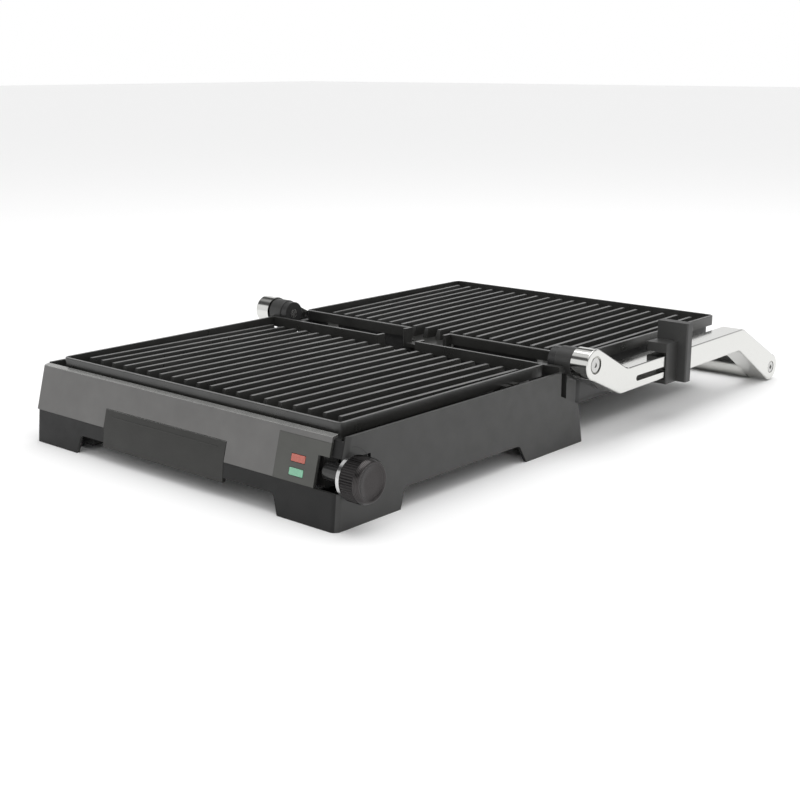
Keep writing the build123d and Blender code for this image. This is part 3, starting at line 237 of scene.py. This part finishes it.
def moulded(name, colour, rough=0.42, grain=0.08, grain_scale=2600, specular=0.5):
    """Satin moulded plastic: a fine spark-eroded grain, faint mottling and a soft variation in gloss."""
    look = Look(name)
    look.paint(look.noise(scale=38, detail=3), shade(colour, 0.9), shade(colour, 1.1))
    look.rough(look.spread(look.noise(scale=90, detail=4), rough - 0.05, rough + 0.06))
    look.bump(look.noise(scale=grain_scale, detail=2), strength=grain, distance=0.0002)
    look.set("Specular IOR Level", specular)
    return look.material


def painted(name, colour, rough=0.34, metallic=0.5):
    """Satin metallic paint on steel."""
    look = Look(name)
    look.paint(look.noise(scale=45, detail=3), shade(colour, 0.93), shade(colour, 1.07))
    look.rough(look.spread(look.noise(scale=140, detail=4), rough - 0.04, rough + 0.05))
    look.set("Metallic", metallic)
    look.bump(look.noise(scale=3200, detail=2), strength=0.05, distance=0.0001)
    return look.material


def cast_plate(name):
    """Non-stick coating over a casting: fine orange-peel, and gloss and shade in soft patches."""
    look = Look(name)
    look.paint(look.noise(scale=22, detail=5), (0.018, 0.018, 0.017), (0.03, 0.03, 0.028))
    look.rough(look.spread(look.noise(scale=60, detail=5), 0.26, 0.36))
    look.bump(look.noise(scale=1500, detail=3), strength=0.16, distance=0.0002)
    look.set("Specular IOR Level", 0.75)
    return look.material


def polished(name, colour, rough=0.09):
    """Polished metal with very fine polishing lines along X, which a face across X shows as a speckle."""
    look = Look(name)
    lines = look.noise(scale=1, detail=6, place=look.stretched(POLISH_LINES))
    look.paint(lines, shade(colour, 0.96), shade(colour, 1.02))
    look.rough(look.spread(lines, rough - 0.03, rough + 0.05))
    look.set("Metallic", 1.0)
    look.bump(lines, strength=0.02, distance=0.0001)
    return look.material


def lens_plastic(name, colour):
    """Tinted clear plastic of the indicator lenses: slightly milky, under a clear coat."""
    look = Look(name)
    look.paint(look.noise(scale=300, detail=2), shade(colour, 0.92), shade(colour, 1.06))
    look.rough(look.spread(look.noise(scale=500, detail=2), 0.2, 0.3))
    look.set("Subsurface Weight", 0.3)
    look.set("Subsurface Radius", (0.002, 0.002, 0.002))
    look.set("Coat Weight", 0.5)
    return look.material


def spun_end(name):
    """The knob's end face: rings left by the turning tool."""
    look = Look(name)
    rings = look.node("ShaderNodeTexWave", {"Scale": 700, "Distortion": 0.3})
    rings.wave_type = "RINGS"
    rings.rings_direction = "X"
    look.link(look.place, rings.inputs["Vector"])
    look.paint(rings.outputs["Fac"], (0.04, 0.038, 0.038), (0.075, 0.07, 0.07))
    look.rough(look.spread(rings.outputs["Fac"], 0.2, 0.32, start=0, end=1))
    look.set("Metallic", 1.0)
    look.bump(rings.outputs["Fac"], strength=0.3, distance=0.00004)
    return look.material


# One look for each slot of the record, and four more for single faces and prints: the knob's end, a painted
# shade on the base's front, a painted highlight on the lips, and the print
RECIPES = {
    "black_moulding": (moulded, {"colour": (0.03, 0.03, 0.029)}),
    "satin_grey": (painted, {"colour": (0.14, 0.138, 0.135)}),
    "control_grey": (painted, {"colour": (0.085, 0.086, 0.08), "rough": 0.38}),
    "tray_grey": (moulded, {"colour": (0.02, 0.02, 0.018), "rough": 0.4, "grain": 0.04, "specular": 0.35}),
    "red_lens": (lens_plastic, {"colour": (0.44, 0.11, 0.08)}),
    "green_lens": (lens_plastic, {"colour": (0.2, 0.46, 0.31)}),
    "lamp_glass": (polished, {"colour": (0.7, 0.7, 0.7), "rough": 0.2}),
    "cast_plate": (cast_plate, {}),
    "heater_steel": (polished, {"colour": (0.3, 0.28, 0.26), "rough": 0.4}),
    "shield_steel": (polished, {"colour": (0.5, 0.5, 0.49), "rough": 0.3}),
    "arm_chrome": (polished, {"colour": (0.68, 0.68, 0.66), "rough": 0.1}),
    "handle_steel": (polished, {"colour": (0.6, 0.6, 0.58), "rough": 0.16}),
    "screw_steel": (polished, {"colour": (0.55, 0.55, 0.54), "rough": 0.25}),
    "lid_black": (painted, {"colour": (0.03, 0.03, 0.03), "rough": 0.36, "metallic": 0.2}),
    "slider_black": (moulded, {"colour": (0.035, 0.035, 0.034), "rough": 0.45}),
    "knob_metal": (polished, {"colour": (0.035, 0.033, 0.033), "rough": 0.2}),
    "neck_black": (moulded, {"colour": (0.02, 0.02, 0.02), "rough": 0.12, "grain": 0.01}),
    "collar_chrome": (polished, {"colour": (0.6, 0.6, 0.6), "rough": 0.15}),
    "foot_rubber": (moulded, {"colour": (0.02, 0.02, 0.02), "rough": 0.7, "grain": 0.2,
                              "grain_scale": 900, "specular": 0.3}),
    "knob_end": (spun_end, {}),
    # Painted shade: a darker black for the front faces of the base
    "front_black": (moulded, {"colour": (0.011, 0.011, 0.011), "rough": 0.45, "grain": 0.04,
                              "specular": 0.25}),
    "print_grey": (moulded, {"colour": (0.012, 0.012, 0.012), "rough": 0.5, "grain": 0.02}),
    # Painted highlight: a light grey for the upward faces of the fascia's and the tray's lips
    "lip_bright": (painted, {"colour": (0.42, 0.42, 0.41), "rough": 0.26, "metallic": 0.7}),
}
LOOKS = {name: maker(name, **values) for name, (maker, values) in RECIPES.items()}


def dress(piece, look):
    piece.data.materials.clear()
    piece.data.materials.append(LOOKS[look])


def dress_nodes():
    for name, node in nodes.items():
        dress(node, slot_of[name])


def ease_edges(node, radius):
    """Stands a copy of a node in for it, with its flat faces merged and its sharp edges rounded."""
    source = nodes[node]
    mesh = source.data.copy()
    shape = bmesh.new()
    shape.from_mesh(mesh)
    bmesh.ops.remove_doubles(shape, verts=shape.verts, dist=SAME_POINT)
    bmesh.ops.dissolve_limit(shape, angle_limit=FLAT_ANGLE, verts=shape.verts, edges=shape.edges)
    shape.to_mesh(mesh)
    shape.free()
    for face in mesh.polygons:
        face.use_smooth = True

    piece = bpy.data.objects.new(node + "_eased", mesh)
    scene.collection.objects.link(piece)
    bevel = piece.modifiers.new("ease", "BEVEL")
    bevel.width = radius
    bevel.segments = EDGE_SEGMENTS
    bevel.limit_method = "ANGLE"
    bevel.angle_limit = EDGE_ANGLE
    bevel.use_clamp_overlap = True
    even = piece.modifiers.new("even", "WEIGHTED_NORMAL")
    even.weight = EDGE_WEIGHT
    even.keep_sharp = False
    graph = bpy.context.evaluated_depsgraph_get()
    graph.update()
    rounded = bpy.data.meshes.new_from_object(piece.evaluated_get(graph))
    piece.modifiers.clear()
    piece.data = rounded

    dress(piece, slot_of[node])
    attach(piece, source["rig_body"])
    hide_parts(node)
    # Faces turned the listed way take a second look: a painted shade or a painted highlight
    if node in PAINTED_LIGHT_LOOKS:
        look, axis, nearness, lowest = PAINTED_LIGHT_LOOKS[node]
        rounded.materials.append(LOOKS[look])
        for face in rounded.polygons:
            takes_painted_light = face.normal.dot(axis) > nearness and face.center.z > lowest
            face.material_index = 1 if takes_painted_light else 0


def mesh_piece(name, points, faces, look, body, centre):
    """A new flat-shaded piece from points given round its own centre."""
    mesh = bpy.data.meshes.new(name)
    mesh.from_pydata(points, [], faces)
    mesh.validate()
    shape = bmesh.new()
    shape.from_mesh(mesh)
    bmesh.ops.recalc_face_normals(shape, faces=shape.faces)
    shape.to_mesh(mesh)
    shape.free()
    for face in mesh.polygons:
        face.use_smooth = False
    piece = bpy.data.objects.new(name, mesh)
    scene.collection.objects.link(piece)
    piece.location = centre
    dress(piece, look)
    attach(piece, body)
    return piece


def knob_centre(x):
    """The point of the knob's axis at this x."""
    low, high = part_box("temperature_knob")
    return (x, (low.y + high.y) / 2, (low.z + high.z) / 2)


def knob_profile(length, radius):
    """Pairs of x and radius from the back to the middle of the end face."""
    body_end = length - KNOB_BEVEL
    soft = KNOB_SOFTENING
    profile = [
        (0, radius - KNOB_CHAMFER),
        (KNOB_CHAMFER - soft, radius - soft),
        (KNOB_CHAMFER + soft, radius),
        (body_end - 2 * KNOB_GROOVE, radius),
        (body_end - KNOB_GROOVE, radius - KNOB_GROOVE),
        (body_end + 2 * soft, radius - 2 * soft),
        (length - KNOB_GROOVE, radius - KNOB_RING_OUTSIDE + KNOB_GROOVE),
        (length, radius - KNOB_RING_OUTSIDE),
        (length, radius - KNOB_RING_INSIDE),
        (length - 2 * soft, radius - KNOB_RING_INSIDE - KNOB_GROOVE),
        (length - KNOB_DISH_DEPTH, radius - KNOB_DISH_START),
    ]
    return profile + [(length - KNOB_DISH_DEPTH, radius * share) for share in KNOB_DISH_RINGS]


def turned(profile, knurl_start, knurl_end):
    """Points and faces of a profile turned round X, with the knurl cut in between two places on X."""
    count = KNOB_KNURLS * KNURL_STEPS
    points = []
    for x, ring_radius in profile:
        for step in range(count):
            angle = 2 * math.pi * step / count
            wave = 0.5 - 0.5 * math.cos(KNOB_KNURLS * angle)
            depth = KNURL_DEPTH * wave ** KNURL_SHARPNESS if knurl_start < x < knurl_end else 0
            reach = ring_radius - depth
            points.append((x, reach * math.cos(angle), reach * math.sin(angle)))
    faces = []
    for ring in range(len(profile) - 1):
        here = ring * count
        there = here + count
        for step in range(count):
            after = (step + 1) % count
            faces.append((here + step, here + after, there + after, there + step))
    faces.append(tuple(range(count)))
    faces.append(tuple(range(len(points) - count, len(points))))
    return points, faces


def knurled_knob():
    low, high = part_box("temperature_knob")
    length = high.x - low.x
    body_end = length - KNOB_BEVEL
    profile = knob_profile(length, (high.y - low.y) / 2)
    points, faces = turned(profile, KNOB_CHAMFER, body_end - KNOB_GROOVE - KNOB_SOFTENING)
    knob = mesh_piece("knob_knurled", points, faces, "knob_metal", "knob", knob_centre(low.x))
    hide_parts("temperature_knob")
    knob.data.materials.append(LOOKS["knob_end"])
    for face in knob.data.polygons:
        near_end = face.center.x > body_end - 2 * KNOB_SOFTENING
        face.material_index = 1 if near_end and abs(face.normal.x) > KNOB_END_FACING else 0
        face.use_smooth = face.center.x > body_end or face.center.x < KNOB_CHAMFER + KNOB_SOFTENING


def dial_marks():
    """The plain printed scale beside the knob: an arc, and a short dash outside its start."""
    centre = knob_centre(base_high.x)
    for name, (radius, start, end, steps) in PRINTS.items():
        points = []
        for step in range(steps + 1):
            angle = math.radians(start + (end - start) * step / steps)
            for edge in (radius - PRINT_HALF_WIDTH, radius + PRINT_HALF_WIDTH):
                for x in (PRINT_LIFT, PRINT_THICKNESS):
                    points.append((x, edge * math.cos(angle), edge * math.sin(angle)))
        faces = []
        for step in range(steps):
            a = 4 * step
            b = a + 4
            faces += [(a, a + 1, b + 1, b), (a + 1, a + 3, b + 3, b + 1),
                      (a + 3, a + 2, b + 2, b + 3), (a + 2, a, b, b + 2)]
        last = 4 * steps
        faces += [(0, 2, 3, 1), (last, last + 1, last + 3, last + 2)]
        mesh_piece(name, points, faces, "print_grey", "base", centre)


def corner_floor(name, x_range, y_range):
    """A plate with a raised lip: rings of four corners from the outside in, closed at both ends."""
    (x0, x1), (y0, y1) = x_range, y_range
    wall = CORNER_LIP_WALL
    lip_top = CORNER_TOP + CORNER_LIP
    rings = [(0, CORNER_BOTTOM), (0, lip_top), (wall, lip_top), (wall, CORNER_TOP)]
    points = []
    for inset, z in rings:
        left, right, front, rear = x0 + inset, x1 - inset, y0 + inset, y1 - inset
        points += [(left, front, z), (right, front, z), (right, rear, z), (left, rear, z)]
    faces = [(0, 1, 2, 3), (12, 13, 14, 15)]
    for ring in range(len(rings) - 1):
        here = 4 * ring
        there = here + 4
        for corner in range(4):
            after = (corner + 1) % 4
            faces.append((here + corner, here + after, there + after, there + corner))
    mesh_piece(name, points, faces, "black_moulding", "base", (0, 0, 0))


def corner_floors():
    """Black plates that close the four corner blocks of the base from below."""
    cover_low, cover_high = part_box("bottom_cover")
    left = (base_low.x + CORNER_LIP, cover_low.x - CORNER_LIP)
    right = (cover_high.x + CORNER_LIP, base_high.x - CORNER_LIP)
    front = (base_low.y + FRONT_CORNER[0], base_low.y + FRONT_CORNER[1])
    rear = (base_high.y - REAR_CORNER[0], base_high.y - REAR_CORNER[1])
    corner_floor("front_left_foot_floor", left, front)
    corner_floor("rear_left_foot_floor", left, rear)
    corner_floor("front_right_foot_floor", right, front)
    corner_floor("rear_right_foot_floor", right, rear)


def add_floor():
    bpy.ops.mesh.primitive_plane_add(size=FLOOR_SIZE, location=(0, 0, 0))
    floor = bpy.context.object
    floor.name = "floor"
    look = Look("floor")
    look.set("Base Color", (FLOOR_WHITE, FLOOR_WHITE, FLOOR_WHITE, 1))
    look.set("Roughness", 0.9)
    look.set("Specular IOR Level", 0.1)
    floor.data.materials.append(look.material)


def add_world():
    """White to the camera; reflections see a bright horizon, a dark gap and a bright tent above it."""
    world = bpy.data.worlds.new("studio")
    scene.world = world
    world.use_nodes = True
    tree = world.node_tree
    place = tree.nodes.new("ShaderNodeTexCoord")
    height = tree.nodes.new("ShaderNodeSeparateXYZ")
    tree.links.new(place.outputs["Generated"], height.inputs["Vector"])
    ramp = tree.nodes.new("ShaderNodeValToRGB")
    stops = ramp.color_ramp.elements
    stops[0].color = (HORIZON, HORIZON, HORIZON, 1)
    stops[1].color = (ZENITH, ZENITH, ZENITH, 1)
    for sine, level in TENT:
        stops.new(sine).color = (level, level, level, 1)
    tree.links.new(height.outputs["Z"], ramp.inputs["Fac"])
    path = tree.nodes.new("ShaderNodeLightPath")
    reflected = tree.nodes.new("ShaderNodeMix")
    reflected.data_type = "RGBA"
    reflected.inputs["A"].default_value = (AMBIENT, AMBIENT, AMBIENT, 1)
    tree.links.new(path.outputs["Is Glossy Ray"], reflected.inputs["Factor"])
    tree.links.new(ramp.outputs["Color"], reflected.inputs["B"])
    shown = tree.nodes.new("ShaderNodeMix")
    shown.data_type = "RGBA"
    shown.inputs["B"].default_value = (1, 1, 1, 1)
    tree.links.new(path.outputs["Is Camera Ray"], shown.inputs["Factor"])
    tree.links.new(reflected.outputs["Result"], shown.inputs["A"])
    tree.links.new(shown.outputs["Result"], tree.nodes["Background"].inputs["Color"])


def add_lamp():
    lamp = bpy.data.objects.new("top", bpy.data.lights.new("top", "AREA"))
    scene.collection.objects.link(lamp)
    lamp.data.shape = "SQUARE"
    lamp.data.size = LAMP_SIDE
    lamp.data.energy = LAMP_WATTS
    lamp.location = LAMP_PLACE
    lamp.rotation_euler = (LAMP_AIM - LAMP_PLACE).to_track_quat("-Z", "Y").to_euler()


add_camera()
dress_nodes()
for eased_node, eased_radius in EASED.items():
    ease_edges(eased_node, eased_radius)
knurled_knob()
dial_marks()
corner_floors()
add_floor()
add_world()
add_lamp()

scene.view_settings.view_transform = "Standard"
